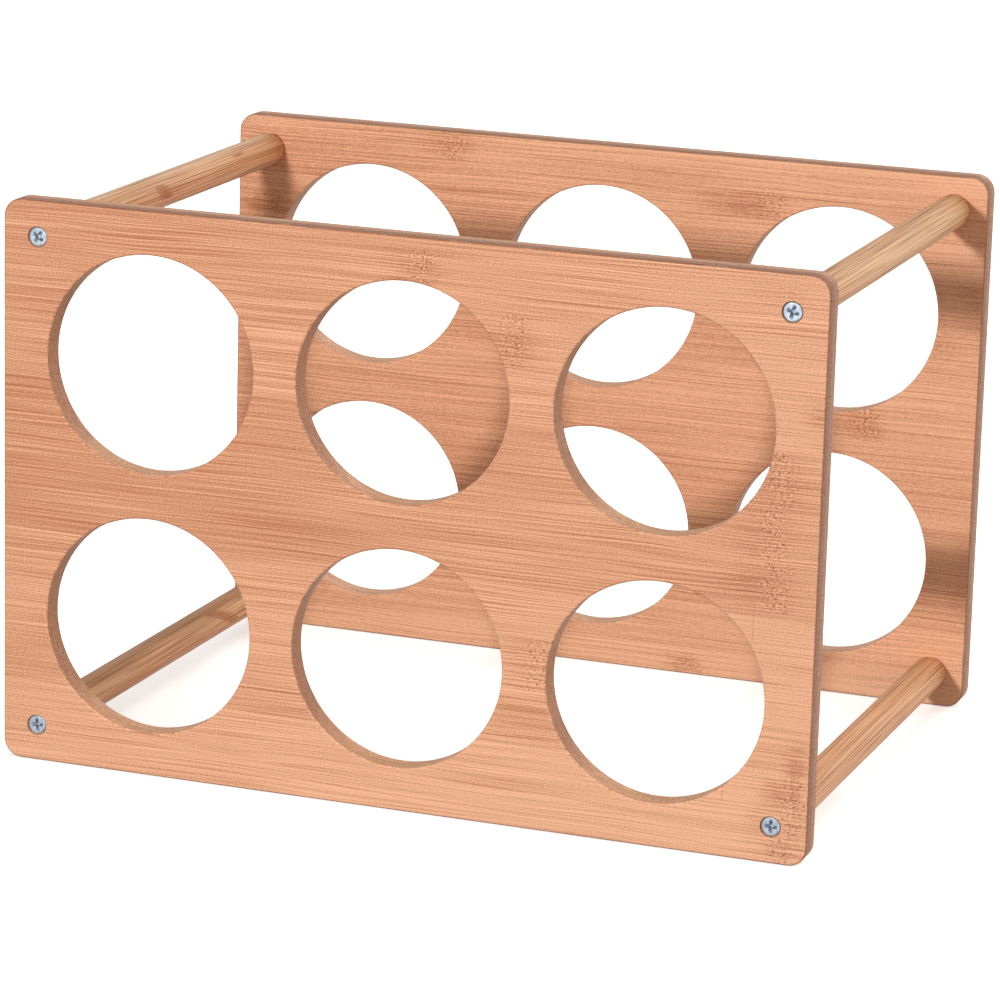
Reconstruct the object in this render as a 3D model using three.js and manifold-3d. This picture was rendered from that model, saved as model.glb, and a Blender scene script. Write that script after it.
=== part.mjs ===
// A bamboo rack for wine bottles that lie on their sides, three across and two high.
// Two panels with round bottle holes stand parallel, held apart by four dowels near their corners.
// Each dowel end is held by a countersunk wood screw that goes through the panel.
//
// Millimetres. +X is to the right across the panels, +Y runs along the bottles from the front panel
// to the back panel, and +Z is up. The origin is on the surface that the rack stands on, at the
// middle of the rack.

import * as THREE from 'three';
import { mergeVertices } from 'three/addons/utils/BufferGeometryUtils.js';
import Module from 'manifold-3d';

const wasm = await Module();
wasm.setup();

// Panels
const PANEL_WIDTH = 335;
const PANEL_HEIGHT = 227;
const PANEL_THICKNESS = 10.5;
const RACK_DEPTH = 240; // from one panel's outer face to the other's
const CORNER_RADIUS = 7.5;
const CORNER_STEPS = 5;
const EASED_EDGE = 0.8; // small chamfer on every edge and hole rim

// Bottle holes
const HOLE_DIAMETER = 87;
const HOLE_PITCH = 105; // the same across and up
const HOLE_COLUMNS = 3;
const HOLE_ROWS = 2;
const HOLE_STEPS = 64;

// Dowels
const DOWEL_DIAMETER = 14;
const DOWEL_INSET = 14.5; // dowel axis to the panel's nearest edges
const DOWEL_STEPS = 32;
const JOINT_GAP = 0.2; // between a dowel's end and the panel
const PILOT_RADIUS = 2.25;
const PILOT_DEPTH = 22;

// Screws, 4 x 30 mm
const SCREW_LENGTH = 30;
const HEAD_RADIUS = 3.75;
const HEAD_SINK = 0.5; // top of the head below the panel's face
const HEAD_RIM = 0.25; // straight edge above the cone
const HEAD_STEPS = 24;
const SHANK_RADIUS = 1.4;
const SHANK_END = 10; // below the head's top, where the thread starts
const THREAD_RADIUS = 2;
const THREAD_CORE_RADIUS = 1.25;
const THREAD_PITCH = 2;
const THREAD_STEPS = 8; // per turn
const THREAD_TURNS = 8;
const TIP_LENGTH = 4;
const RECESS_DEPTH = 1.9;
const RECESS_SPAN = 4.4;
const RECESS_SLOT = 1.1;
const FRONT_SCREW_TURNS = [0.6, 0.3, -0.1, 0.05]; // how far each recess is turned, in radians
const BACK_SCREW_TURNS = [0.2, 1.1, 0.75, -0.35];

// Countersunk bore for a screw, in the panel
const COUNTERSINK_RADIUS = 4.1;
const COUNTERSINK_RIM = 0.75; // straight wall at the mouth, above the 90 degree cone
const BORE_RADIUS = 2.25;
const BORE_STEPS = 24;

const BAMBOO = { color: 0xd9986c, roughness: 0.55, metalness: 0 };
const PALE_BAMBOO = { color: 0xcda873, roughness: 0.6, metalness: 0 };
const ZINC = { color: 0xc3cad3, roughness: 0.3, metalness: 1 };

const side = (sign) => (sign < 0 ? 'left' : 'right');
const level = (sign) => (sign < 0 ? 'bottom' : 'top');
const corners = [[-1, 1], [1, 1], [-1, -1], [1, -1]];
const DOWEL_X = PANEL_WIDTH / 2 - DOWEL_INSET;
const dowelZ = (sign) => (sign < 0 ? DOWEL_INSET : PANEL_HEIGHT - DOWEL_INSET);

// A closed three.js geometry as a manifold-3d solid.
function toSolid(geometry) {
  const bare = geometry.clone();
  bare.deleteAttribute('normal');
  bare.deleteAttribute('uv');
  const merged = mergeVertices(bare, 1e-4);
  return new wasm.Manifold(new wasm.Mesh({
    numProp: 3,
    vertProperties: new Float32Array(merged.getAttribute('position').array),
    triVerts: new Uint32Array(merged.getIndex().array),
  }));
}

// A manifold-3d solid as a three.js geometry.
function toGeometry(solid) {
  const { vertProperties, triVerts } = solid.getMesh();
  const geometry = new THREE.BufferGeometry();
  geometry.setAttribute('position', new THREE.BufferAttribute(vertProperties, 3));
  geometry.setIndex(new THREE.BufferAttribute(triVerts, 1));
  geometry.computeVertexNormals();
  return geometry;
}

// A closed profile of [radius, y] pairs turned round the Y axis. It runs from the axis at the low
// end to the axis at the high end.
function turned(profile, steps) {
  return new THREE.LatheGeometry(profile.map(([r, y]) => new THREE.Vector2(r, y)), steps);
}

function circle(cx, cz, radius, steps) {
  const points = [];
  for (let i = 0; i < steps; i += 1) {
    const a = (2 * Math.PI * i) / steps;
    points.push(new THREE.Vector2(cx + radius * Math.cos(a), cz + radius * Math.sin(a)));
  }
  return points;
}

// The panel's outline, centred across and standing on its bottom edge.
function panelOutline() {
  const points = [];
  const cx = PANEL_WIDTH / 2 - CORNER_RADIUS;
  const cz = PANEL_HEIGHT / 2 - CORNER_RADIUS;
  [[1, 1], [-1, 1], [-1, -1], [1, -1]].forEach(([sx, sz], quarter) => {
    for (let i = 0; i <= CORNER_STEPS; i += 1) {
      const a = (Math.PI / 2) * (quarter + i / CORNER_STEPS);
      points.push(new THREE.Vector2(
        sx * cx + CORNER_RADIUS * Math.cos(a),
        PANEL_HEIGHT / 2 + sz * cz + CORNER_RADIUS * Math.sin(a),
      ));
    }
  });
  return points;
}

// One panel. Its outer face is at y = 0 and its inner face at y = PANEL_THICKNESS.
function panelGeometry() {
  const shape = new THREE.Shape(panelOutline());
  for (let column = 0; column < HOLE_COLUMNS; column += 1) {
    for (let row = 0; row < HOLE_ROWS; row += 1) {
      const x = (column - (HOLE_COLUMNS - 1) / 2) * HOLE_PITCH;
      const z = PANEL_HEIGHT / 2 + (row - (HOLE_ROWS - 1) / 2) * HOLE_PITCH;
      shape.holes.push(new THREE.Path(circle(x, z, HOLE_DIAMETER / 2, HOLE_STEPS)));
    }
  }
  const board = new THREE.ExtrudeGeometry(shape, {
    depth: PANEL_THICKNESS - 2 * EASED_EDGE,
    bevelEnabled: true,
    bevelThickness: EASED_EDGE,
    bevelSize: EASED_EDGE,
    bevelOffset: -EASED_EDGE,
    bevelSegments: 1,
  });
  board.rotateX(Math.PI / 2);
  board.translate(0, PANEL_THICKNESS - EASED_EDGE, 0);
  let solid = toSolid(board);
  for (const [sx, sz] of corners) {
    const bore = turned([
      [0, -1],
      [COUNTERSINK_RADIUS, -1],
      [COUNTERSINK_RADIUS, COUNTERSINK_RIM],
      [BORE_RADIUS, COUNTERSINK_RIM + COUNTERSINK_RADIUS - BORE_RADIUS],
      [BORE_RADIUS, PANEL_THICKNESS + 1],
      [0, PANEL_THICKNESS + 1],
    ], BORE_STEPS);
    bore.translate(sx * DOWEL_X, 0, dowelZ(sz));
    solid = solid.subtract(toSolid(bore));
  }
  return toGeometry(solid);
}

// A dowel along Y from y = 0, with rounded ends and a blind pilot hole in each.
function dowelGeometry() {
  const length = RACK_DEPTH - 2 * (PANEL_THICKNESS + JOINT_GAP);
  const r = DOWEL_DIAMETER / 2;
  const half = [
    [0, PILOT_DEPTH],
    [PILOT_RADIUS, PILOT_DEPTH - PILOT_RADIUS / 2],
    [PILOT_RADIUS, 0],
    [r - 1.5, 0],
    [r - 0.45, 0.45],
    [r, 1.5],
  ];
  const far = half.map(([x, y]) => [x, length - y]).reverse();
  return turned([...half, ...far], DOWEL_STEPS);
}

// The threaded part of a screw, along Y from the head's side to the tip. The surface follows two
// helices, the thread's root and its crest, and is closed at both ends.
function threadGeometry(start, end) {
  const positions = [];
  const faces = [];
  const steps = THREAD_STEPS * THREAD_TURNS;
  const taper = (y) => Math.min(1, Math.max(0.15, (end - y) / TIP_LENGTH));
  const point = (radius, step, y) => {
    const a = (2 * Math.PI * step) / THREAD_STEPS;
    positions.push(radius * Math.sin(a), y, radius * Math.cos(a));
  };
  for (let i = 0; i <= steps + THREAD_STEPS; i += 1) {
    const y = start + (THREAD_PITCH * i) / THREAD_STEPS;
    point(THREAD_CORE_RADIUS * taper(y), i, y);
  }
  for (let i = 0; i <= steps; i += 1) {
    const y = start + THREAD_PITCH * (0.5 + i / THREAD_STEPS);
    point(THREAD_RADIUS * taper(y), i, y);
  }
  point(0, 0, start);
  point(0, 0, end);
  const root = (i) => i;
  const crest = (i) => steps + THREAD_STEPS + 1 + i;
  const top = 2 * steps + THREAD_STEPS + 2;
  const tip = top + 1;
  for (let i = 0; i < steps; i += 1) {
    faces.push(root(i), root(i + 1), crest(i));
    faces.push(crest(i + 1), crest(i), root(i + 1));
    faces.push(crest(i), crest(i + 1), root(i + THREAD_STEPS));
    faces.push(root(i + THREAD_STEPS + 1), root(i + THREAD_STEPS), crest(i + 1));
  }
  for (let i = 0; i < THREAD_STEPS; i += 1) {
    faces.push(root(i + 1), root(i), top);
    faces.push(root(steps + i), root(steps + i + 1), tip);
  }
  faces.push(root(0), crest(0), root(THREAD_STEPS));
  faces.push(top, root(0), root(THREAD_STEPS));
  faces.push(crest(steps), root(steps), root(steps + THREAD_STEPS));
  faces.push(root(steps), tip, root(steps + THREAD_STEPS));
  const geometry = new THREE.BufferGeometry();
  geometry.setAttribute('position', new THREE.Float32BufferAttribute(positions, 3));
  geometry.setIndex(faces);
  return geometry;
}

// The cross recess's tapered cutter, from above the head's top at y = 0 down into it.
function recessGeometry() {
  const a = RECESS_SPAN / 2;
  const b = RECESS_SLOT / 2;
  const cross = [
    [a, -b], [a, b], [b, b], [b, a], [-b, a], [-b, b],
    [-a, b], [-a, -b], [-b, -b], [-b, -a], [b, -a], [b, -b],
  ];
  const shape = new THREE.Shape(cross.map(([x, y]) => new THREE.Vector2(x, y)));
  const geometry = new THREE.ExtrudeGeometry(shape, { depth: 1, bevelEnabled: false });
  const position = geometry.getAttribute('position');
  for (let i = 0; i < position.count; i += 1) {
    const deep = position.getZ(i) < 0.5;
    const scale = deep ? 0.45 : 1.1;
    const y = deep ? RECESS_DEPTH : -0.3;
    position.setXYZ(i, position.getX(i) * scale, y, position.getY(i) * scale);
  }
  return geometry;
}

// A countersunk wood screw along Y. The head's top is at y = 0 and the tip at y = SCREW_LENGTH.
function screwGeometry() {
  const body = turned([
    [0, 0],
    [HEAD_RADIUS, 0],
    [HEAD_RADIUS, HEAD_RIM],
    [SHANK_RADIUS, HEAD_RIM + HEAD_RADIUS - SHANK_RADIUS],
    [SHANK_RADIUS, SHANK_END + 1],
    [0, SHANK_END + 1],
  ], HEAD_STEPS);
  return toGeometry(toSolid(body)
    .add(toSolid(threadGeometry(SHANK_END, SCREW_LENGTH)))
    .subtract(toSolid(recessGeometry())));
}

function part(name, geometry, finish) {
  const mesh = new THREE.Mesh(geometry, new THREE.MeshStandardMaterial(finish));
  mesh.name = name;
  return mesh;
}

// A panel with its four screws, outer face at y = 0. The back one is turned round by half a turn,
// so its left and right change places.
function panelWithScrews(place, turnedRound, screwTurns) {
  const group = new THREE.Group();
  group.add(part(`${place}_panel`, panelGeometry(), BAMBOO));
  corners.forEach(([sx, sz], i) => {
    const name = `screw_${place}_${level(sz)}_${side(turnedRound ? -sx : sx)}`;
    const screw = part(name, screwGeometry(), ZINC);
    screw.position.set(sx * DOWEL_X, HEAD_SINK, dowelZ(sz));
    screw.rotation.y = screwTurns[i];
    group.add(screw);
  });
  return group;
}

const rack = new THREE.Group();

const front = panelWithScrews('front', false, FRONT_SCREW_TURNS);
front.position.y = -RACK_DEPTH / 2;
rack.add(front);

const back = panelWithScrews('back', true, BACK_SCREW_TURNS);
back.position.y = RACK_DEPTH / 2;
back.rotation.z = Math.PI;
rack.add(back);

for (const [sx, sz] of corners) {
  const dowel = part(`dowel_${level(sz)}_${side(sx)}`, dowelGeometry(), PALE_BAMBOO);
  dowel.position.set(sx * DOWEL_X, -RACK_DEPTH / 2 + PANEL_THICKNESS + JOINT_GAP, dowelZ(sz));
  rack.add(dowel);
}

export default rack;
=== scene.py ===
"""Looks of a bamboo wine rack: two boards with six bottle holes each, four dowels, eight screws.

Everything is in metres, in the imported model's frame: +X to the right, +Y from the front board to
the back one, +Z up, with the origin on the floor at the middle of the rack.
"""

import math

import bmesh
import bpy
from mathutils import Matrix, Vector


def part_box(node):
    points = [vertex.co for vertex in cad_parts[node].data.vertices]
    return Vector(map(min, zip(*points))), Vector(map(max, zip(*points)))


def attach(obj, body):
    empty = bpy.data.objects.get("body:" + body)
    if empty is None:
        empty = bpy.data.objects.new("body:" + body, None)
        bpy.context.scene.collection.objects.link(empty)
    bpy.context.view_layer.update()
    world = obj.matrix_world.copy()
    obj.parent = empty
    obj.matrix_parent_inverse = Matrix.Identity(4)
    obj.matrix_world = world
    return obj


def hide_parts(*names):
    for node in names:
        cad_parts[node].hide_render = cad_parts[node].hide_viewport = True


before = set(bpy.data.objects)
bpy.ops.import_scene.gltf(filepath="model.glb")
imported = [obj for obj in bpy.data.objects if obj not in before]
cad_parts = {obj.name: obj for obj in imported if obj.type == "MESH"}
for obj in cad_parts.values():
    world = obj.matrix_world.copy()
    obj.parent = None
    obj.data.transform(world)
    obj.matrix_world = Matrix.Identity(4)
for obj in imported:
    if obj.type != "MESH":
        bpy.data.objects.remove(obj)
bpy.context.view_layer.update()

MM = 0.001

# Boards
CORNER_RADIUS = 7.5 * MM
CORNER_STEPS = 12
ARRIS = 0.9 * MM  # radius of the rounded edges and hole rims
ARRIS_STEPS = 5
HOLE_RADIUS = 43.5 * MM
HOLE_PITCH = 105 * MM
HOLE_STEPS = 160
COUNTERSINK_RADIUS = 4.1 * MM
COUNTERSINK_RIM = 0.75 * MM
BORE_RADIUS = 2.25 * MM
BORE_STEPS = 48

# Dowels
DOWEL_END_RADIUS = 1.7 * MM
DOWEL_END_STEPS = 8
DOWEL_STEPS = 72
PILOT_RADIUS = 2.25 * MM
PILOT_DEPTH = 22 * MM

# Screws
HEAD_RADIUS = 3.75 * MM
HEAD_SINK = 0.5 * MM
HEAD_RIM = 0.25 * MM
HEAD_STEPS = 64
SHANK_RADIUS = 1.4 * MM
THREAD_START = 10 * MM
THREAD_PITCH = 2 * MM
THREAD_HEIGHT = 0.75 * MM
THREAD_CORE_RADIUS = 1.25 * MM
THREAD_HALF_FOOT = 0.3  # of the ridge, as a share of the pitch
THREAD_BLUNTNESS = 1.15  # over 1, the ridge's top is cut flat
THREAD_ROWS_PER_TURN = 16
TIP_LENGTH = 4 * MM
TIP_SHARE = 0.06  # the thickness at the tip's very end, as a share of the full one
SCREW_LENGTH = 30 * MM
RECESS_DEPTH = 1.9 * MM
RECESS_ARM = 2.2 * MM
RECESS_HALF_SLOT = 0.52 * MM
RECESS_TIP = 1.12  # the depth of its middle, as a share of RECESS_DEPTH
RECESS_END_ROUNDING = 0.55  # both as shares of the slot's half width
RECESS_INNER_ROUNDING = 0.35
RECESS_ARC_STEPS = 4
# From the recess's mouth to its floor: shares of the arm, the slot's half width and the depth.
RECESS_PROFILE = [
    (1.18, 1.45, 0.0),
    (1.08, 1.18, 0.1),
    (0.95, 1.0, 0.3),
    (0.7, 0.86, 0.75),
    (0.46, 0.8, 1.0),
]
# How each screw's cross is turned, in radians.
FRONT_SCREW_TURNS = {"top_left": 0.6, "top_right": 0.3, "bottom_left": -0.1, "bottom_right": 0.05}
BACK_SCREW_TURNS = {"top_left": 1.1, "top_right": 0.2, "bottom_left": -0.35, "bottom_right": 0.75}

PLACES = ("top_left", "top_right", "bottom_left", "bottom_right")
SMOOTH_ANGLE = 38  # degrees between two faces, above which their edge stays crisp

front_low, front_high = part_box("front_panel")
back_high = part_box("back_panel")[1]
WIDTH = front_high.x - front_low.x
HEIGHT = front_high.z - front_low.z
THICKNESS = front_high.y - front_low.y


# ---------------------------------------------------------------- meshes

def ring(mesh, points):
    return [mesh.verts.new(p) for p in points]


def bridge(mesh, first, second):
    """Quads between two closed rings of the same number of vertices."""
    count = len(first)
    for i in range(count):
        j = (i + 1) % count
        mesh.faces.new((first[i], first[j], second[j], second[i]))


def bridge_all(mesh, rings):
    for first, second in zip(rings, rings[1:]):
        bridge(mesh, first, second)


def cap(mesh, border, tip):
    """Triangles from a closed ring to one point."""
    point = mesh.verts.new(tip)
    for i, vertex in enumerate(border):
        mesh.faces.new((vertex, border[(i + 1) % len(border)], point))


def fill(mesh, borders):
    """A flat face with holes, between closed rings that lie in one plane."""
    edges = []
    for border in borders:
        for i, vertex in enumerate(border):
            edges.append(mesh.edges.get((vertex, border[(i + 1) % len(border)])))
    bmesh.ops.triangle_fill(mesh, use_beauty=True, use_dissolve=False, edges=edges)


def circle(radius, steps, cx=0.0, cz=0.0, y=0.0):
    """Points round an axis that runs along Y."""
    points = []
    for i in range(steps):
        a = 2 * math.pi * i / steps
        points.append((cx + radius * math.cos(a), y, cz + radius * math.sin(a)))
    return points


def quarter(steps):
    """(share inwards, share deep) along a rounded arris, from the face to the wall."""
    for i in range(steps + 1):
        a = math.pi / 2 * i / steps
        yield 1 - math.sin(a), 1 - math.cos(a)


def piece(name, mesh, material):
    """A finished object from a bmesh, with smooth curves and crisp corners."""
    bmesh.ops.recalc_face_normals(mesh, faces=mesh.faces)
    data = bpy.data.meshes.new(name)
    mesh.to_mesh(data)
    mesh.free()
    data.polygons.foreach_set("use_smooth", [True] * len(data.polygons))
    data.set_sharp_from_angle(angle=math.radians(SMOOTH_ANGLE))
    data.materials.append(material)
    thing = bpy.data.objects.new(name, data)
    bpy.context.scene.collection.objects.link(thing)
    weighted = thing.modifiers.new("weighted_normals", "WEIGHTED_NORMAL")
    weighted.keep_sharp = True
    return thing


def outline(inset, y):
    """The board's rounded outline, moved inwards by inset."""
    points = []
    radius = CORNER_RADIUS - inset
    cx = WIDTH / 2 - CORNER_RADIUS
    cz = HEIGHT / 2 - CORNER_RADIUS
    for turn, (sx, sz) in enumerate(((1, 1), (-1, 1), (-1, -1), (1, -1))):
        for i in range(CORNER_STEPS + 1):
            a = math.pi / 2 * (turn + i / CORNER_STEPS)
            x = sx * cx + radius * math.cos(a)
            z = HEIGHT / 2 + sz * cz + radius * math.sin(a)
            points.append((x, y, z))
    return points


def eased_wall(mesh, loop):
    """The wall between a board's two faces, with a rounded arris at each.
    loop(inset, y) gives its points at a depth, inset being towards the wood."""
    rings = [ring(mesh, loop(ARRIS * e, ARRIS * d)) for e, d in quarter(ARRIS_STEPS)]
    back = [ring(mesh, loop(ARRIS * e, THICKNESS - ARRIS * d)) for e, d in quarter(ARRIS_STEPS)]
    rings += reversed(back)
    bridge_all(mesh, rings)
    return rings[0], rings[-1]


def screw_bore(mesh, cx, cz):
    """Countersunk at y = 0, with its corners very slightly rounded."""
    soft = 0.12 * MM
    profile = [
        (COUNTERSINK_RADIUS + soft, 0),
        (COUNTERSINK_RADIUS + soft * 0.3, soft * 0.3),
        (COUNTERSINK_RADIUS, soft),
        (COUNTERSINK_RADIUS, COUNTERSINK_RIM),
        (BORE_RADIUS, COUNTERSINK_RIM + COUNTERSINK_RADIUS - BORE_RADIUS),
        (BORE_RADIUS, THICKNESS),
    ]
    rings = [ring(mesh, circle(r, BORE_STEPS, cx, cz, y)) for r, y in profile]
    bridge_all(mesh, rings)
    return rings[0], rings[-1]


def dowel_middle(place):
    """The middle of a dowel, through which both its screws' axes go."""
    low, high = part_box("dowel_" + place)
    return (low + high) / 2


def board(name, material, turned_round):
    """A board whose outer, countersunk face is at y = 0, put in its place."""
    mesh = bmesh.new()
    borders = [eased_wall(mesh, outline)]
    for column in (-1, 0, 1):
        for row in (-0.5, 0.5):
            cx = column * HOLE_PITCH
            cz = HEIGHT / 2 + row * HOLE_PITCH
            borders.append(eased_wall(
                mesh, lambda e, y: circle(HOLE_RADIUS + e, HOLE_STEPS, cx, cz, y)))
    for place in PLACES:
        middle = dowel_middle(place)
        borders.append(screw_bore(mesh, middle.x, middle.z))
    fill(mesh, [outer for outer, _ in borders])
    fill(mesh, [inner for _, inner in borders])
    if turned_round:
        place_it = Matrix.Translation((0, back_high.y, 0)) @ Matrix.Rotation(math.pi, 4, "Z")
    else:
        place_it = Matrix.Translation((0, front_low.y, 0))
    bmesh.ops.transform(mesh, matrix=place_it, verts=mesh.verts)
    return piece(name, mesh, material)


def lathe(mesh, profile, steps):
    """Rings round the Y axis, one for each (radius, y) of the profile."""
    rings = [ring(mesh, circle(r, steps, y=y)) for r, y in profile]
    bridge_all(mesh, rings)
    return rings


def dowel(name, node, material):
    """A round bar along Y with rounded ends and a blind pilot hole in each."""
    low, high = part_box(node)
    radius = (high.z - low.z) / 2
    length = high.y - low.y
    half = [(PILOT_RADIUS, PILOT_DEPTH - PILOT_RADIUS / 2), (PILOT_RADIUS, 0)]
    for e, d in quarter(DOWEL_END_STEPS):
        half.append((radius - DOWEL_END_RADIUS * e, DOWEL_END_RADIUS * d))
    mesh = bmesh.new()
    rings = lathe(mesh, half + [(r, length - y) for r, y in reversed(half)], DOWEL_STEPS)
    cap(mesh, rings[0], (0, PILOT_DEPTH, 0))
    cap(mesh, rings[-1], (0, length - PILOT_DEPTH, 0))
    thing = piece(name, mesh, material)
    thing.location = ((low.x + high.x) / 2, low.y, (low.z + high.z) / 2)
    return thing


def cross(arm, half_slot, y):
    """A four-armed recess outline with rounded arm ends and rounded inner corners."""
    end = half_slot * RECESS_END_ROUNDING
    inner = half_slot * RECESS_INNER_ROUNDING
    angles = [math.pi / 2 * i / RECESS_ARC_STEPS for i in range(RECESS_ARC_STEPS + 1)]
    tip = [(arm - end + end * math.cos(t), half_slot - end + end * math.sin(t)) for t in angles]
    corner = [(half_slot + inner - inner * math.sin(t), half_slot + inner - inner * math.cos(t))
              for t in angles]
    one_arm = [(px, -pz) for px, pz in reversed(tip[1:])] + tip + corner
    points = []
    for turn in range(4):
        a = turn * math.pi / 2
        for px, pz in one_arm:
            points.append((
                px * math.cos(a) - pz * math.sin(a), y, px * math.sin(a) + pz * math.cos(a)))
    return points


def thread_radius(turn_share, y):
    """The thread's surface at one place on the shank: a ridge that winds once in THREAD_PITCH."""
    along = ((y - THREAD_START) / THREAD_PITCH - turn_share) % 1.0
    ridge = max(0.0, 1 - abs(along - 0.5) / THREAD_HALF_FOOT)
    grown = min(1.0, max(0.0, (y - THREAD_START) / THREAD_PITCH))
    taper = min(1.0, max(TIP_SHARE, (SCREW_LENGTH - y) / TIP_LENGTH))
    height = THREAD_HEIGHT * min(1.0, ridge * THREAD_BLUNTNESS) * grown
    return (THREAD_CORE_RADIUS + height) * taper


def wood_screw(name, place, turn, outer_y, facing, material):
    """A countersunk cross-head screw along Y, its head's top at y = 0 before it is placed.
    It goes into a board's face at outer_y, towards +Y where facing is 1 and -Y where it's -1."""
    mesh = bmesh.new()
    soft = 0.1 * MM
    cone_end = HEAD_RIM + HEAD_RADIUS - SHANK_RADIUS
    rings = lathe(mesh, [
        (HEAD_RADIUS - 4.0 * soft, 0),
        (HEAD_RADIUS - 2.0 * soft, soft * 0.4),
        (HEAD_RADIUS - 0.6 * soft, soft * 1.2),
        (HEAD_RADIUS, HEAD_RIM),
        (SHANK_RADIUS + soft, cone_end - soft),
        (SHANK_RADIUS, cone_end + soft),
        (SHANK_RADIUS, THREAD_START - soft),
    ], HEAD_STEPS)
    step = THREAD_PITCH / THREAD_ROWS_PER_TURN
    rows = int((SCREW_LENGTH - THREAD_START) / step)
    last = rings[-1]
    for row in range(rows + 1):
        y = THREAD_START + row * step
        points = []
        for i in range(HEAD_STEPS):
            share = i / HEAD_STEPS
            a = 2 * math.pi * share
            r = thread_radius(share, y)
            points.append((r * math.cos(a), y, r * math.sin(a)))
        following = ring(mesh, points)
        bridge(mesh, last, following)
        last = following
    cap(mesh, last, (0, SCREW_LENGTH, 0))

    recess = [ring(mesh, cross(RECESS_ARM * a, RECESS_HALF_SLOT * s, RECESS_DEPTH * d))
              for a, s, d in RECESS_PROFILE]
    bridge_all(mesh, recess)
    cap(mesh, recess[-1], (0, RECESS_DEPTH * RECESS_TIP, 0))
    fill(mesh, [rings[0], recess[0]])

    thing = piece(name, mesh, material)
    middle = dowel_middle(place)
    sunk = Vector((middle.x, outer_y + facing * HEAD_SINK, middle.z))
    half_turn = 0 if facing > 0 else math.pi
    thing.matrix_world = (Matrix.Translation(sunk) @ Matrix.Rotation(half_turn, 4, "Z")
                          @ Matrix.Rotation(turn, 4, "Y"))
    return thing


# ---------------------------------------------------------------- materials

def colour(red, green, blue):
    """An sRGB colour from 0 to 255 as the linear one that a shader takes."""
    linear = []
    for value in (red, green, blue):
        share = value / 255
        linear.append(share / 12.92 if share <= 0.04045 else ((share + 0.055) / 1.055) ** 2.4)
    return (*linear, 1.0)


# Board colours
PIT_BROWN = colour(134, 62, 38)
SEAM_BROWN = colour(160, 98, 68)
FIBRE_END_DARK = colour(168, 112, 79)
FIBRE_END_PALE = colour(188, 134, 100)
FIBRE_END_DOTS = colour(142, 92, 66)
FLANK_DARK = colour(204, 149, 110)
FLANK_PALE = colour(226, 174, 136)
FLANK_LINES = colour(150, 100, 72)
OUTER_EDGE_BROWN = colour(150, 88, 48)
# Partly painted shade: the front half of the outer edges, darker where the front arris is in
# shade.
FRONT_EDGE_SHADE_BROWN = colour(122, 72, 44)
CUT_SPECK_DARK = colour(112, 76, 52)
CUT_SPECK_PALE = colour(230, 187, 154)
# Partly painted shade on the rounded arrises.
ARRIS_SHADE_BROWN = colour(132, 82, 56)
RUBBED_PALE = colour(232, 190, 156)
# Painted shade in the countersinks.
COUNTERSINK_SHADE = colour(104, 70, 50)

# Dowel colours
DOWEL_DARK = colour(144, 80, 38)
DOWEL_PALE = colour(240, 198, 154)
DOWEL_MARK = colour(166, 94, 50)
DOWEL_END_PALE = colour(196, 136, 96)
DOWEL_END_DOTS = colour(122, 74, 46)

# Screw and studio colours
ZINC_DARK = colour(142, 154, 166)
ZINC_PALE = colour(168, 178, 192)
ZINC_STAIN = colour(112, 130, 140)
ZINC_RECESS = colour(96, 112, 108)
FLOOR_DARK = colour(250, 250, 250)
FLOOR_PALE = colour(252, 252, 252)
BLACK = (0, 0, 0, 1)
WHITE = (1, 1, 1, 1)

BUMP_DEPTH = 0.03 * MM
WOOD_SPECULAR = 0.18


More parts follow.
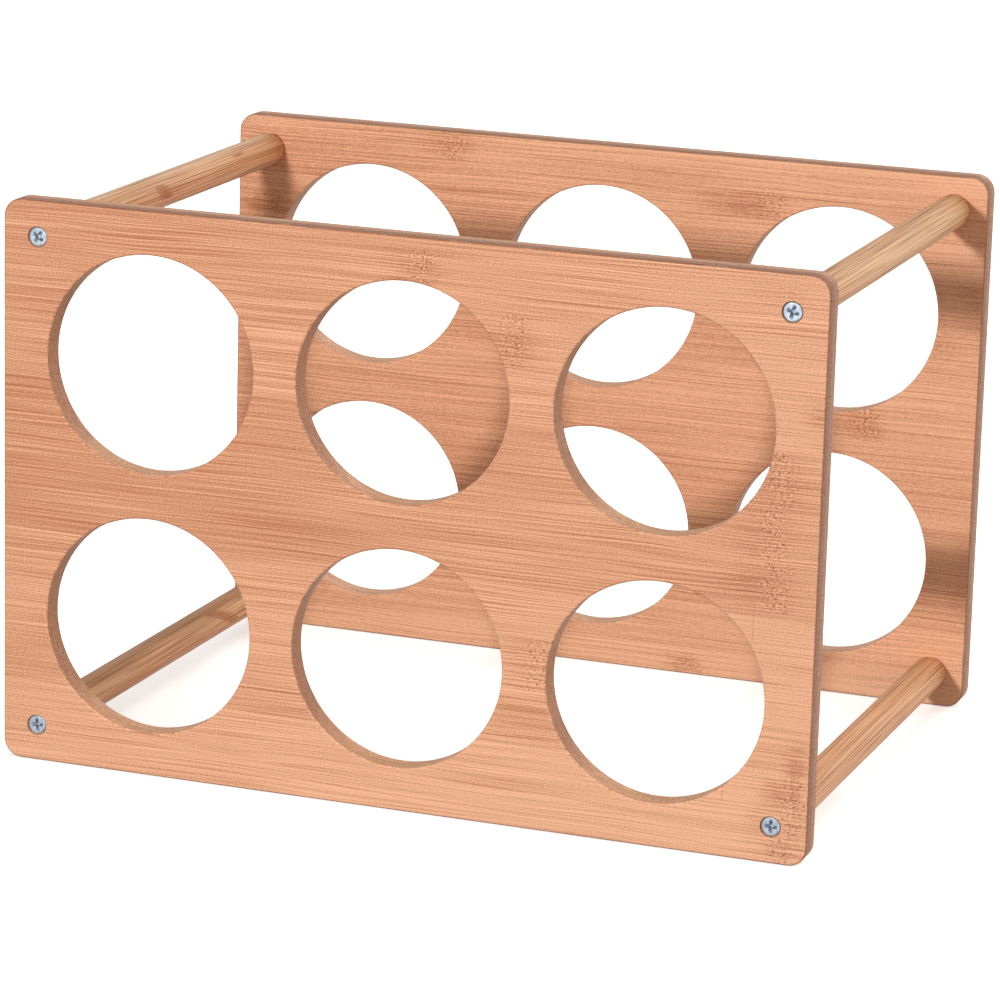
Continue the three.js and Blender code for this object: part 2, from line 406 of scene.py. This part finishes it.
class Graph:
    """The nodes of one procedural material."""

    def __init__(self, name):
        self.material = bpy.data.materials.new(name)
        self.material.use_nodes = True
        self.tree = self.material.node_tree
        self.shader = self.tree.nodes["Principled BSDF"]

    def join(self, value, socket):
        if isinstance(value, bpy.types.NodeSocket):
            self.tree.links.new(value, socket)
        else:
            socket.default_value = value

    def add(self, kind, inputs, output=0, **settings):
        node = self.tree.nodes.new("ShaderNode" + kind)
        for key, value in settings.items():
            setattr(node, key, value)
        for key, value in inputs.items():
            self.join(value, node.inputs[key])
        return node.outputs[output]

    def set(self, **inputs):
        for key, value in inputs.items():
            self.join(value, self.shader.inputs[key.replace("_", " ")])

    def math(self, operation, a, b=0.0, c=0.0):
        return self.add("Math", {0: a, 1: b, 2: c}, operation=operation)

    def plus(self, a, b):
        return self.math("ADD", a, b)

    def times(self, a, b):
        return self.math("MULTIPLY", a, b)

    def larger(self, a, b):
        return self.math("MAXIMUM", a, b)

    def ramp(self, value, start, end, low=0.0, high=1.0):
        """Goes smoothly from low to high while value goes from start to end."""
        return self.add("MapRange", {0: value, 1: start, 2: end, 3: low, 4: high},
                        interpolation_type="SMOOTHSTEP")

    def mix(self, share, a, b):
        return self.add("Mix", {0: share, 6: a, 7: b}, output=2, data_type="RGBA")

    def away(self, value, middle):
        """How far a value is from the middle, on either side."""
        return self.math("ABSOLUTE", self.plus(value, -middle))

    def between(self, value, low, high, soft):
        """1 between low and high and 0 outside, going over that softly at each."""
        return self.times(self.ramp(value, low - soft, low + soft),
                          self.ramp(value, high + soft, high - soft))

    def hypotenuse(self, a, b):
        return self.math("SQRT", self.plus(self.times(a, a), self.times(b, b)))

    def stretched(self, place, scales):
        """A vector of the place's three parts, each times its own scale."""
        x, y, z = [self.times(part, scale) for part, scale in zip(place, scales)]
        return self.add("CombineXYZ", {0: x, 1: y, 2: z})

    def noise(self, place, scales, detail=2.0, roughness=0.5):
        """Noise from 0 to 1. The larger a scale, the finer the noise is in that direction."""
        return self.add("TexNoise", {
            "Vector": self.stretched(place, scales), "Scale": 1.0, "Detail": detail,
            "Roughness": roughness})

    def cells(self, place, scales):
        """Distance to the nearest of scattered points, one to each unit cube of the place."""
        return self.add("TexVoronoi", {"Vector": self.stretched(place, scales), "Scale": 1.0})

    def chance(self, value):
        """A random number from 0 to 1 that belongs to the value."""
        return self.add("TexWhiteNoise", {"W": value}, noise_dimensions="1D")

    def millimetres(self):
        """The place in the piece's own frame, as three numbers in millimetres."""
        place = self.add("TexCoord", {}, output=3)
        scaled = self.add("VectorMath", {0: place, 3: 1000.0}, operation="SCALE")
        node = self.tree.nodes.new("ShaderNodeSeparateXYZ")
        self.tree.links.new(scaled, node.inputs[0])
        return node.outputs[0], node.outputs[1], node.outputs[2]

    def facing(self, axis):
        """How squarely the surface faces along one of its own axes, from 0 to 1."""
        normal = self.add("TexCoord", {}, output=1)
        node = self.tree.nodes.new("ShaderNodeSeparateXYZ")
        self.tree.links.new(normal, node.inputs[0])
        return self.math("ABSOLUTE", node.outputs[axis])

    def bump(self, height):
        """The normal of a surface with that relief, a height of 1 being BUMP_DEPTH."""
        return self.add("Bump", {"Height": height, "Distance": BUMP_DEPTH, "Strength": 1.0})


def in_mm(length):
    """A length in millimetres, without the rounding errors of a box's corners."""
    return round(length / MM, 3)


# Materials work in millimetres.
HALF_WIDTH = in_mm(WIDTH / 2)
MID_HEIGHT = in_mm(HEIGHT / 2)
MID_BOARD = in_mm(back_high.y - THICKNESS / 2)  # |y| half-way through a board's thickness
SCREW_ASIDE = in_mm(dowel_middle("top_right").x)
SCREW_ABOVE = in_mm(dowel_middle("top_right").z - HEIGHT / 2)
STRIP_WIDTH = 21.0  # of the bamboo strips that a board is pressed from
STRIP_START = -9.0  # the lower side of the lowest strip
RIPPLE_PITCH = 1.4
COMB_REACH = 15.0  # how far noise moves a node mark's fibres along the board
MARK_NONE, MARK_FULL = 7.0, 3.4  # mm from a node mark's middle
HALO_NONE, HALO_FULL = 17.0, 3.0  # mm from the middle of the darker fibres beside it
HALO_LEFT = 4.0  # how far that middle is to the left of the mark's
OUTSIDE_NONE, OUTSIDE_FULL = 3.5, 1.5  # mm in from the board's outline


def strip_tone(g, strip, tones):
    """The lightness of a strip, from a list that starts at the board's bottom."""
    total = 0.0
    for number, tone in enumerate(tones):
        here = g.math("COMPARE", strip, float(number), 0.5)
        total = g.plus(total, g.times(here, tone))
    return total


def centred(g, value, weight):
    """A noise value from 0 to 1, turned into a swing of that weight about zero."""
    return g.times(g.plus(value, -0.5), weight)


def node_marks(g, x, z, marks):
    """Where the cane's nodes cross a strip, and the darker fibres beside them."""
    comb = centred(g, g.noise((x, 0.0, z), (0.1, 1, 0.9)), 1.0)
    comb_x = g.plus(x, g.times(comb, COMB_REACH))
    mark_share = 0.0
    halo_share = 0.0
    for mark_x, low, high, strength in marks:
        inside = g.times(g.between(z, low, high, soft=0.5), strength)
        away = g.away(comb_x, mark_x)
        mark_share = g.larger(mark_share, g.times(g.ramp(away, MARK_NONE, MARK_FULL), inside))
        away = g.away(comb_x, mark_x - HALO_LEFT)
        halo_share = g.larger(halo_share, g.times(g.ramp(away, HALO_NONE, HALO_FULL), inside))
    return comb_x, mark_share, halo_share


def darker_spots(g, comb_x, z, stains_and_shadow):
    """Soft-edged darker places."""
    share = 0.0
    for spot_x, spot_z, reach_x, reach_z, strength in stains_and_shadow:
        dx = g.math("DIVIDE", g.plus(comb_x, -spot_x), reach_x)
        dz = g.math("DIVIDE", g.plus(z, -spot_z), reach_z)
        share = g.larger(share, g.times(g.ramp(g.hypotenuse(dx, dz), 1.0, 0.15), strength))
    return share


def cut_wood(g, x, y, z, specks, line_share, outside):
    """The ends of the fibres on the sides, and their flanks above and below. The front half of the
    board's outer edges is the brownest: partly browner wood, partly painted shade of the front
    arris."""
    dots = g.cells((x, y, z), (0.3, 1.3, 1.3))
    ply = g.noise((x, y, z), (0.02, 0.5, 0.3), detail=3.0, roughness=0.7)
    end = g.mix(g.ramp(ply, 0.35, 0.65), FIBRE_END_DARK, FIBRE_END_PALE)
    end = g.mix(g.times(g.ramp(dots, 0.5, 0.2), 0.5), end, FIBRE_END_DOTS)
    flank = g.mix(g.ramp(ply, 0.35, 0.65), FLANK_DARK, FLANK_PALE)
    flank = g.mix(g.times(line_share, 0.5), flank, FLANK_LINES)
    cut = g.mix(g.ramp(g.facing(0), 0.45, 0.85), flank, end)
    behind_middle = g.plus(y, g.times(g.ramp(y, -1.0, 1.0, -1.0, 1.0), -MID_BOARD))
    # Partly painted shade: darkens the front half of the outer edges, as if the front arris were
    # in shade.
    front_edge_shade = g.times(g.ramp(behind_middle, 0.6, -1.2), g.plus(g.times(outside, 0.75), 0.05))
    cut = g.mix(g.times(outside, 0.3), cut, OUTER_EDGE_BROWN)
    cut = g.mix(front_edge_shade, cut, FRONT_EDGE_SHADE_BROWN)
    cut = g.mix(g.ramp(specks, 0.58, 0.37, 0.0, 0.44), cut, CUT_SPECK_DARK)
    return g.mix(g.ramp(specks, 0.48, 0.69, 0.0, 0.45), cut, CUT_SPECK_PALE)


def board_material(name, seed, contrast, shades, tones, marks, stains_and_shadow, butt_joints):
    """Pressed bamboo, its fibres along X. The contrast is that of its fine lines and specks."""
    g = Graph(name)
    dark, middling, pale = [colour(*shade) for shade in shades]
    x, y, z = g.millimetres()
    level = g.math("DIVIDE", g.plus(z, -STRIP_START), STRIP_WIDTH)
    strip = g.math("FLOOR", level)
    strip_chance = g.chance(g.plus(strip, seed))
    shifted = g.plus(x, g.times(strip_chance, 900.0))
    wave = g.noise((shifted, seed, z), (0.012, 1, 0.035), detail=1.0)
    zw = g.plus(z, centred(g, wave, 3.0))

    # Fibres: long thin lines, an even ripple of them, hairlines, and specks that break them up.
    bands = g.noise((shifted, y, zw), (0.003, 0.1, 0.14), detail=1.0)
    lines = g.noise((shifted, y, zw), (0.005, 0.8, 1.3), detail=1.0)
    hairs = g.noise((shifted, y, zw), (0.012, 1.5, 2.9), detail=1.0)
    specks = g.noise((x, y, z), (1.4, 2.6, 2.6))
    phase = g.noise((shifted, seed, z), (0.004, 1, 0.3), detail=1.0)
    ripple = g.math("SINE", g.plus(g.times(zw, 2 * math.pi / RIPPLE_PITCH),
                                   centred(g, phase, 22.0)))
    swell = g.noise((x, seed + 9.0, z), (0.006, 1, 0.12), detail=1.0)
    comb_x, mark_share, halo_share = node_marks(g, x, z, marks)
    ripple_share = g.plus(g.ramp(swell, 0.3, 0.7, 0.02, 0.13), g.times(halo_share, 0.08))
    tone = g.plus(strip_tone(g, strip, tones), centred(g, bands, 0.08))
    # Painted light: the wood grows lighter towards +X, standing in for light that falls off to the
    # left.
    tone = g.plus(tone, g.times(x, 0.0006))
    tone = g.plus(tone, centred(g, lines, 0.22))
    tone = g.plus(tone, centred(g, hairs, 1.45 * contrast))
    tone = g.plus(tone, centred(g, specks, 1.35 * contrast))
    tone = g.plus(tone, g.times(ripple, ripple_share))
    line_share = g.ramp(hairs, 0.38, 0.28)
    tone = g.plus(tone, g.times(line_share, -0.2 * contrast))

    # Nodes of the cane and stains.
    streaks = g.noise((x, seed + 5.0, zw), (0.04, 1, 1.3), roughness=0.6)
    beside = g.times(halo_share, g.plus(g.times(mark_share, -0.8), 1.0))
    dark_share = g.plus(g.times(beside, 0.4), darker_spots(g, comb_x, z, stains_and_shadow))
    tone = g.plus(tone, g.times(dark_share, g.ramp(streaks, 0.62, 0.38, -0.05, -0.45)))
    mottle = g.noise((x, seed, z), (0.8, 1, 2.2), roughness=0.7)
    tone = g.plus(tone, g.times(mark_share, g.plus(centred(g, mottle, 3.0), -0.06)))
    wood = g.mix(g.ramp(tone, -0.6, 0.0), dark, middling)
    wood = g.mix(g.ramp(tone, 0.0, 1.15), wood, pale)
    pits = g.cells((x, y, z), (0.5, 0.4, 0.5))
    pit_share = g.times(g.ramp(mark_share, 0.3, 0.8), g.ramp(pits, 0.26, 0.16))
    wood = g.mix(g.times(pit_share, 0.7), wood, PIT_BROWN)

    # Joints: the seams between strips, and the strips' ends where they meet.
    along = g.math("FRACT", level)
    seam = g.ramp(g.away(along, 0.5), 0.486, 0.499)
    seam = g.times(seam, g.ramp(strip_chance, 0.1, 0.9, 0.05, 0.25))
    for joint_x, low, high in butt_joints:
        inside = g.between(z, low, high, soft=0.2)
        line = g.times(g.ramp(g.away(x, joint_x), 0.3, 0.08), inside)
        seam = g.larger(seam, g.times(line, 0.35))
    wood = g.mix(seam, wood, SEAM_BROWN)

    # Cut edges and hole walls.
    outside = g.larger(g.ramp(g.math("ABSOLUTE", x),
                              HALF_WIDTH - OUTSIDE_NONE, HALF_WIDTH - OUTSIDE_FULL),
                       g.ramp(g.away(z, MID_HEIGHT),
                              MID_HEIGHT - OUTSIDE_NONE, MID_HEIGHT - OUTSIDE_FULL))
    cut = cut_wood(g, x, y, z, specks, line_share, outside)
    wood = g.mix(g.ramp(g.facing(1), 0.25, 0.6), cut, wood)

    # The rounded arrises are browner, with specks, most of all round the board's outside: partly
    # the end grain's own colour, partly painted shade of arrises turned away from the light.
    arris = g.times(g.ramp(g.facing(1), 0.15, 0.45), g.ramp(g.facing(1), 0.99, 0.85))
    arris_shade_and_specks = g.plus(g.ramp(specks, 0.35, 0.65, 0.18, 0.02), g.times(outside, 0.62))
    wood = g.mix(g.times(arris, arris_shade_and_specks), wood, ARRIS_SHADE_BROWN)
    wear = g.noise((x, y, z), (0.09, 0.3, 0.09), detail=4.0)
    rubbed = g.times(arris, g.ramp(wear, 0.55, 0.7))
    wood = g.mix(g.times(rubbed, 0.25), wood, RUBBED_PALE)

    # Painted shade: the countersinks are darker inside, round the sunk screw heads.
    dx = g.plus(g.math("ABSOLUTE", x), -SCREW_ASIDE)
    dz = g.plus(g.away(z, MID_HEIGHT), -SCREW_ABOVE)
    inside = g.ramp(g.hypotenuse(dx, dz), 4.25, COUNTERSINK_RADIUS / MM)
    wood = g.mix(g.times(inside, 0.3), wood, COUNTERSINK_SHADE)

    roughness = g.plus(g.times(line_share, 0.1), g.plus(g.times(rubbed, 0.12), 0.5))
    roughness = g.plus(roughness, g.times(mark_share, 0.08))
    height = g.plus(centred(g, lines, 1.2), centred(g, hairs, 0.8))
    height = g.plus(height, g.times(pit_share, -1.2))
    height = g.plus(height, g.times(mark_share, centred(g, mottle, 0.6)))
    height = g.plus(height, g.times(seam, -0.6))
    g.set(Base_Color=wood, Roughness=roughness, Normal=g.bump(height))
    g.shader.inputs["Specular IOR Level"].default_value = WOOD_SPECULAR
    return g.material


DOWEL_GAP = 0.2  # between a dowel's end and the board
HALF_DOWEL = in_mm(back_high.y - THICKNESS) - DOWEL_GAP
LAYERS_FACE = 120  # degrees from +X towards +Z, in all four dowels


def layered(g, across, layers_and_painted_light):
    """The colour of the layer at a place, and the seams between layers.
    Each layer is (its upper side, red, green, blue), from below; a top colour can be painted light
    on the bar's upper side."""
    wood = colour(*layers_and_painted_light[0][1:])
    seams = 0.0
    for lower, upper in zip(layers_and_painted_light, layers_and_painted_light[1:]):
        wood = g.mix(g.ramp(across, lower[0] - 0.15, lower[0] + 0.15), wood, colour(*upper[1:]))
        seams = g.larger(seams, g.ramp(g.away(across, lower[0]), 0.3, 0.05))
    return wood, seams


def dowel_material(name, seed, layers_and_painted_light, marks, streaks):
    """A bamboo bar with its fibres along Y, glued up from layers."""
    g = Graph(name)
    x, y, z = g.millimetres()
    ca, sa = math.cos(math.radians(LAYERS_FACE)), math.sin(math.radians(LAYERS_FACE))
    bend = g.noise((y, seed, 0.0), (0.008, 1, 1), detail=1.0)
    across = g.plus(g.plus(g.times(x, ca), g.times(z, sa)), centred(g, bend, 1.6))
    up = g.plus(g.times(x, -sa), g.times(z, ca))
    wood, seams = layered(g, across, layers_and_painted_light)

    # Fibres: broad bands, lines and hairlines, broken up by specks.
    place = g.plus(y, seed * 50.0)
    bands = g.noise((across, place, up), (0.5, 0.008, 0.3), detail=1.0)
    lines = g.noise((across, place, up), (1.7, 0.008, 1.2), detail=1.0)
    hairs = g.noise((across, place, up), (3.0, 0.014, 2.2), detail=1.0)
    specks = g.noise((x, y, z), (2.2, 0.8, 2.2))
    tone = g.plus(centred(g, bands, 0.6), centred(g, lines, 1.4))
    tone = g.plus(g.plus(tone, centred(g, hairs, 4.6)), 0.08)
    tone = g.plus(tone, centred(g, specks, 0.9))
    tone = g.plus(tone, g.times(g.ramp(hairs, 0.46, 0.36), -0.3))
    tone = g.plus(tone, g.times(seams, -0.35))

    # Darker streaks along the bar, and the marks that the cane's nodes leave.
    for low, high, start, end, depth in streaks:
        inside = g.times(g.between(across, low, high, soft=0.5),
                         g.between(y, start, end, soft=12.0))
        tone = g.plus(tone, g.times(inside, -depth))
    mark_share = 0.0
    jitter = g.noise((x, seed, z), (1.3, 1, 1.3), detail=1.0)
    for mark_y, low, high, slant in marks:
        skew = g.plus(g.plus(y, g.times(across, slant)), centred(g, jitter, 6.0))
        near = g.ramp(g.away(skew, mark_y), 8.0, 1.5)
        inside = g.between(across, low, high, soft=0.3)
        mark_share = g.larger(mark_share, g.times(near, inside))
    flecks = g.noise((x, y, z), (1.5, 0.9, 1.5), roughness=0.7)
    near_end = g.ramp(g.away(y, HALF_DOWEL), HALF_DOWEL - 10, HALF_DOWEL - 2)
    rough_share = g.larger(mark_share, g.times(near_end, 0.8))
    tone = g.plus(tone, g.times(rough_share, g.plus(centred(g, flecks, 7.0), -0.6)))
    tone = g.plus(tone, g.times(mark_share, -0.4))
    wood = g.mix(g.ramp(tone, 0.0, -0.9, 0.0, 0.7), wood, DOWEL_DARK)
    wood = g.mix(g.ramp(tone, 0.0, 0.9, 0.0, 0.4), wood, DOWEL_PALE)
    marked = g.times(mark_share, g.ramp(flecks, 0.35, 0.6, 0.85, 0.2))
    wood = g.mix(marked, wood, DOWEL_MARK)

    # The rounded ends show the ends of the fibres.
    end_share = g.ramp(g.facing(1), 0.12, 0.6)
    dots = g.cells((x, y, z), (1.4, 0.4, 1.4))
    end = g.mix(g.times(g.ramp(dots, 0.5, 0.2), 0.6), DOWEL_END_PALE, DOWEL_END_DOTS)
    wood = g.mix(g.times(end_share, 0.8), wood, end)

    roughness = g.plus(g.ramp(tone, 0.0, -0.9, 0.0, 0.1), 0.52)
    g.set(Base_Color=wood, Roughness=roughness, Normal=g.bump(tone))
    g.shader.inputs["Specular IOR Level"].default_value = WOOD_SPECULAR
    return g.material


def zinc_material(name):
    """Bluish zinc plating, mottled, and darker in the recess."""
    g = Graph(name)
    x, y, z = g.millimetres()
    tint = g.noise((x, y, z), (0.5, 0.5, 0.5))
    zinc = g.mix(g.ramp(tint, 0.35, 0.65), ZINC_DARK, ZINC_PALE)
    stain = g.noise((x, y, z), (1.2, 1.2, 1.2), detail=3.0, roughness=0.65)
    zinc = g.mix(g.times(g.ramp(stain, 0.5, 0.7), 0.7), zinc, ZINC_STAIN)
    radius = g.hypotenuse(x, z)
    in_recess = g.times(g.ramp(y, 0.35, 1.3),
                        g.times(g.ramp(radius, 2.7, 2.4), g.ramp(y, 2.5, 2.3)))
    zinc = g.mix(g.times(in_recess, 0.15), zinc, ZINC_RECESS)
    rings = g.math("SINE", g.times(radius, 24.0))
    grit = g.noise((x, y, z), (5.0, 5.0, 5.0))
    roughness = g.ramp(stain, 0.3, 0.7, 0.42, 0.52)
    height = g.plus(g.times(rings, 0.2), g.plus(grit, g.times(stain, 2.0)))
    g.set(Base_Color=zinc, Roughness=roughness, Normal=g.bump(height))
    g.shader.inputs["Metallic"].default_value = 0.55
    return g.material


FLOOR_GLOW = 0.45  # keeps the floor nearly white in the soft shadows


def floor_material():
    """White, and a little lit by itself."""
    g = Graph("pale_floor")
    x, y, _ = g.millimetres()
    soft = g.noise((x, y, 0.0), (0.004, 0.004, 1))
    g.set(Base_Color=g.mix(soft, FLOOR_DARK, FLOOR_PALE))
    g.shader.inputs["Emission Color"].default_value = WHITE
    g.shader.inputs["Emission Strength"].default_value = FLOOR_GLOW
    g.shader.inputs["Roughness"].default_value = 0.9
    g.shader.inputs["Specular IOR Level"].default_value = 0.1
    return g.material


def backdrop_material():
    """White and lit by itself."""
    g = Graph("white_backdrop")
    g.shader.inputs["Base Color"].default_value = BLACK
    g.shader.inputs["Emission Color"].default_value = WHITE
    g.shader.inputs["Emission Strength"].default_value = 1.0
    return g.material


# The boards' dark, middling and pale wood.
FRONT_SHADES = [(136, 77, 47), (182, 114, 78), (252, 194, 156)]
BACK_SHADES = [(134, 75, 44), (182, 112, 75), (253, 194, 155)]

# The strips' lightness, from the board's bottom up.
FRONT_TONES = [0.78, 0.74, 0.62, 0.7, 0.64, 0.5, 0.52, 0.48, 0.6, 0.58, 0.55, 0.52]
BACK_TONES = [0.86, 0.72, 0.54, 0.6, 0.56, 0.65, 0.7, 0.6, 0.58, 0.68, 0.68, 0.78]

# Node marks (x, lowest z, highest z, strength), stains and painted shadow (x, z, reach in x,
# reach in z, strength) and butt joints (x, lowest z, highest z), in millimetres.
FRONT_MARKS = [
    (6.5, 209.5, 222, 1.0), (44.5, 181, 201, 1.0), (152, 138, 160, 1.0), (150, 118, 137, 1.0),
    (151, 98, 117, 1.0), (58.5, 55.5, 76, 0.9), (161, 12, 34.5, 1.0), (157, 0, 12, 0.8),
    (152, 215, 222, 0.5),
]
FRONT_STAINS = [
    (166, 174, 9, 9, 0.9), (138, 107, 22, 8, 0.35), (134, 127, 16, 9, 0.2),
    (156, 27, 12, 9, 0.6), (150, 16, 12, 7, 0.3), (162, 34, 7, 22, 0.9), (157, 5, 10, 7, 0.9),
    (164, 14, 9, 22, 0.6), (8, 214, 18, 6, 0.35), (48, 190, 14, 9, 0.35),
]
FRONT_JOINTS = [(143, 86, 99), (133.5, 22, 32)]
BACK_MARKS = [
    (-67.5, 215, 227, 1.0), (75.5, 202, 213, 1.0), (-152, 184, 193, 0.9),
    (120.5, 111, 125, 1.0), (45.5, 0, 9, 1.0), (150, 150, 160, 0.6),
]
# The back entry at (164, 178) lies in the shadow that the front board casts and deepens it: partly
# painted shadow, partly a real stain.
BACK_STAINS_AND_SHADOW = [
    (58, 207, 26, 8, 0.8), (-154, 188, 16, 7, 0.9), (164, 178, 10, 8, 0.5),
    (120, 118, 12, 8, 0.5), (44, 4, 11, 7, 0.9), (-67, 220, 14, 7, 0.4), (-40, 172, 20, 10, 0.5),
]

front_wood = board_material(
    "bamboo_front_board", seed=3.0, contrast=1.0, shades=FRONT_SHADES, tones=FRONT_TONES,
    marks=FRONT_MARKS, stains_and_shadow=FRONT_STAINS, butt_joints=FRONT_JOINTS)
back_wood = board_material(
    "bamboo_back_board", seed=41.0, contrast=0.78, shades=BACK_SHADES, tones=BACK_TONES,
    marks=BACK_MARKS, stains_and_shadow=BACK_STAINS_AND_SHADOW, butt_joints=[])
zinc = zinc_material("zinc_plating")


def show(thing, node):
    """Hangs a piece on the rack's root body and hides the CAD node that it stands for."""
    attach(thing, "root")
    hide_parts(node)


show(board("front_board", front_wood, turned_round=False), "front_panel")
show(board("back_board", back_wood, turned_round=True), "back_panel")

# Each dowel's seed, its layers and painted light (upper side, red, green, blue), its node marks
# (y, lowest, highest, slant) and its darker streaks (lowest, highest, start, end, depth), in
# millimetres. The upper side, lowest and highest are measured across the layers, and y, start and
# end along the dowel. The top colour of the top-left dowel is partly a painted highlight, and that
# of the bottom-left one is painted shade.
DOWEL_LOOKS = {
    "top_left": dict(
        seed=11.0,
        # The top colour is partly a painted highlight on the bar's upper side.
        layers_and_painted_light=[(-4.4, 212, 156, 116), (-1.0, 199, 144, 100), (4.2, 196, 146, 104),
                (9.0, 206, 170, 134)],
        marks=[(92, -5, 1, 0.8), (172, 1, 2.5, 0.0)],
        streaks=[(-3.8, -1.2, 92, 240, 0.5)]),
    "top_right": dict(
        seed=23.0,
        layers_and_painted_light=[(-3.0, 214, 166, 126), (2.6, 211, 169, 121), (9.0, 205, 155, 112)],
        marks=[],
        streaks=[(2.6, 5.0, -20, 240, 0.15)]),
    "bottom_left": dict(
        seed=37.0,
        # The top colour is painted shade on the bar's upper side.
        layers_and_painted_light=[(-3.0, 216, 159, 118), (1.6, 204, 155, 113), (9.0, 176, 130, 90)],
        marks=[(158, -5, 3.5, 2.4)],
        streaks=[]),
    "bottom_right": dict(
        seed=53.0,
        layers_and_painted_light=[(-4.0, 216, 160, 122), (1.0, 208, 153, 110), (9.0, 212, 156, 112)],
        marks=[],
        streaks=[(-1.0, 1.2, -20, 240, 0.15)]),
}
for where in PLACES:
    bar_wood = dowel_material("bamboo_dowel_" + where, **DOWEL_LOOKS[where])
    show(dowel("rod_" + where, "dowel_" + where, bar_wood), "dowel_" + where)
    show(wood_screw("wood_screw_front_" + where, where, FRONT_SCREW_TURNS[where],
                    front_low.y, 1, zinc), "screw_front_" + where)
    show(wood_screw("wood_screw_back_" + where, where, BACK_SCREW_TURNS[where],
                    back_high.y, -1, zinc), "screw_back_" + where)


# ---------------------------------------------------------------- floor, light and camera

STUDIO_REACH = 7.5
STUDIO_STEPS = 96
WALL_TOP = 5.0
FLOOR_LEVEL = -0.0001  # just under the rack, so that no two faces share a place


def closed(mesh, height):
    """A level ring of joined vertices round the studio."""
    points = [(x, z, height) for x, _, z in circle(STUDIO_REACH, STUDIO_STEPS)]
    border = ring(mesh, points)
    for i, vertex in enumerate(border):
        mesh.edges.new((vertex, border[(i + 1) % STUDIO_STEPS]))
    return border


def stage_piece(name, mesh, material):
    """A floor or backdrop that throws no light on the rack: it only shows, and is mirrored."""
    data = bpy.data.meshes.new(name)
    mesh.to_mesh(data)
    mesh.free()
    data.materials.append(material)
    thing = bpy.data.objects.new(name, data)
    thing.visible_diffuse = False
    bpy.context.scene.collection.objects.link(thing)
    return thing


def floor():
    mesh = bmesh.new()
    fill(mesh, [closed(mesh, FLOOR_LEVEL)])
    stage_piece("floor", mesh, floor_material())


def backdrop():
    """A white wall all round, far away."""
    mesh = bmesh.new()
    bridge(mesh, closed(mesh, FLOOR_LEVEL), closed(mesh, WALL_TOP))
    thing = stage_piece("backdrop", mesh, backdrop_material())
    thing.visible_shadow = False


def direction(azimuth, elevation):
    """Towards a place seen at that azimuth, 0 being the front, and elevation, in degrees."""
    a, e = math.radians(azimuth), math.radians(elevation)
    return Vector((math.sin(a) * math.cos(e), -math.cos(a) * math.cos(e), math.sin(e)))


def softbox(name, azimuth, elevation, distance, size, power):
    """A round lamp that faces the rack's middle. The wider it is, the softer its shadows."""
    lamp = bpy.data.lights.new(name, "AREA")
    lamp.shape = "DISK"
    lamp.size = size
    lamp.energy = power
    thing = bpy.data.objects.new(name, lamp)
    thing.location = Vector((0, 0, HEIGHT / 2)) + direction(azimuth, elevation) * distance
    thing.rotation_mode = "QUATERNION"
    thing.rotation_quaternion = direction(azimuth, elevation).to_track_quat("Z", "Y")
    thing.visible_camera = False
    bpy.context.scene.collection.objects.link(thing)


def even_light(name, azimuth, elevation, spread, brightness, warmth=0.0):
    """Light that is alike over the whole studio. It shows a white surface that squarely faces it
    at that brightness, and a wide spread makes soft shadows. A warmth of 0 is white."""
    lamp = bpy.data.lights.new(name, "SUN")
    lamp.angle = math.radians(spread)
    lamp.energy = brightness * math.pi
    lamp.color = (1.0, 1.0 - 0.18 * warmth, 1.0 - 0.38 * warmth)
    thing = bpy.data.objects.new(name, lamp)
    thing.rotation_mode = "QUATERNION"
    thing.rotation_quaternion = direction(azimuth, elevation).to_track_quat("Z", "Y")
    bpy.context.scene.collection.objects.link(thing)


SURROUND_COLOUR = (1, 0.95, 0.9, 1)


def surround(strength):
    """Faint, warm light from everywhere."""
    world = bpy.data.worlds.new("studio")
    world.use_nodes = True
    background = world.node_tree.nodes["Background"]
    background.inputs["Color"].default_value = SURROUND_COLOUR
    background.inputs["Strength"].default_value = strength
    bpy.context.scene.world = world


CAMERA_AZIMUTH = 20.0
CAMERA_ELEVATION = 14.16
CAMERA_ROLL = 1.57
CAMERA_DISTANCE = 1.848
CAMERA_ASIDE = -0.0024  # to its own right, from looking at the rack's middle
CAMERA_ABOVE = -0.016  # the same, upwards
LENS = 163.6
SENSOR_WIDTH = 36.0


def camera():
    """Looks at the rack's middle, moved aside and up, and rolled a little."""
    lens = bpy.data.cameras.new("camera")
    lens.sensor_width = SENSOR_WIDTH
    lens.lens = LENS
    thing = bpy.data.objects.new("camera", lens)
    bpy.context.scene.collection.objects.link(thing)
    back = direction(CAMERA_AZIMUTH, CAMERA_ELEVATION)
    right = (-back).cross(Vector((0, 0, 1))).normalized()
    up = right.cross(-back)
    eye = Vector((0, 0, HEIGHT / 2)) + back * CAMERA_DISTANCE
    eye += right * CAMERA_ASIDE + up * CAMERA_ABOVE
    axes = Matrix((right, up, back)).transposed().to_4x4()
    roll = Matrix.Rotation(math.radians(CAMERA_ROLL), 4, "Z")
    thing.matrix_world = Matrix.Translation(eye) @ axes @ roll
    bpy.context.scene.camera = thing


floor()
backdrop()
surround(strength=0.16)
softbox("key_light", azimuth=-7.6, elevation=12.9, distance=1.71, size=0.12, power=18.0)
even_light("top_light", azimuth=0, elevation=85, spread=50, brightness=0.18)
even_light("right_fill", azimuth=80, elevation=20, spread=60, brightness=0.52, warmth=0.6)
even_light("left_fill", azimuth=-80, elevation=20, spread=60, brightness=0.15)
even_light("back_light", azimuth=158, elevation=20, spread=60, brightness=0.78)
camera()
bpy.context.scene.view_settings.view_transform = "Standard"
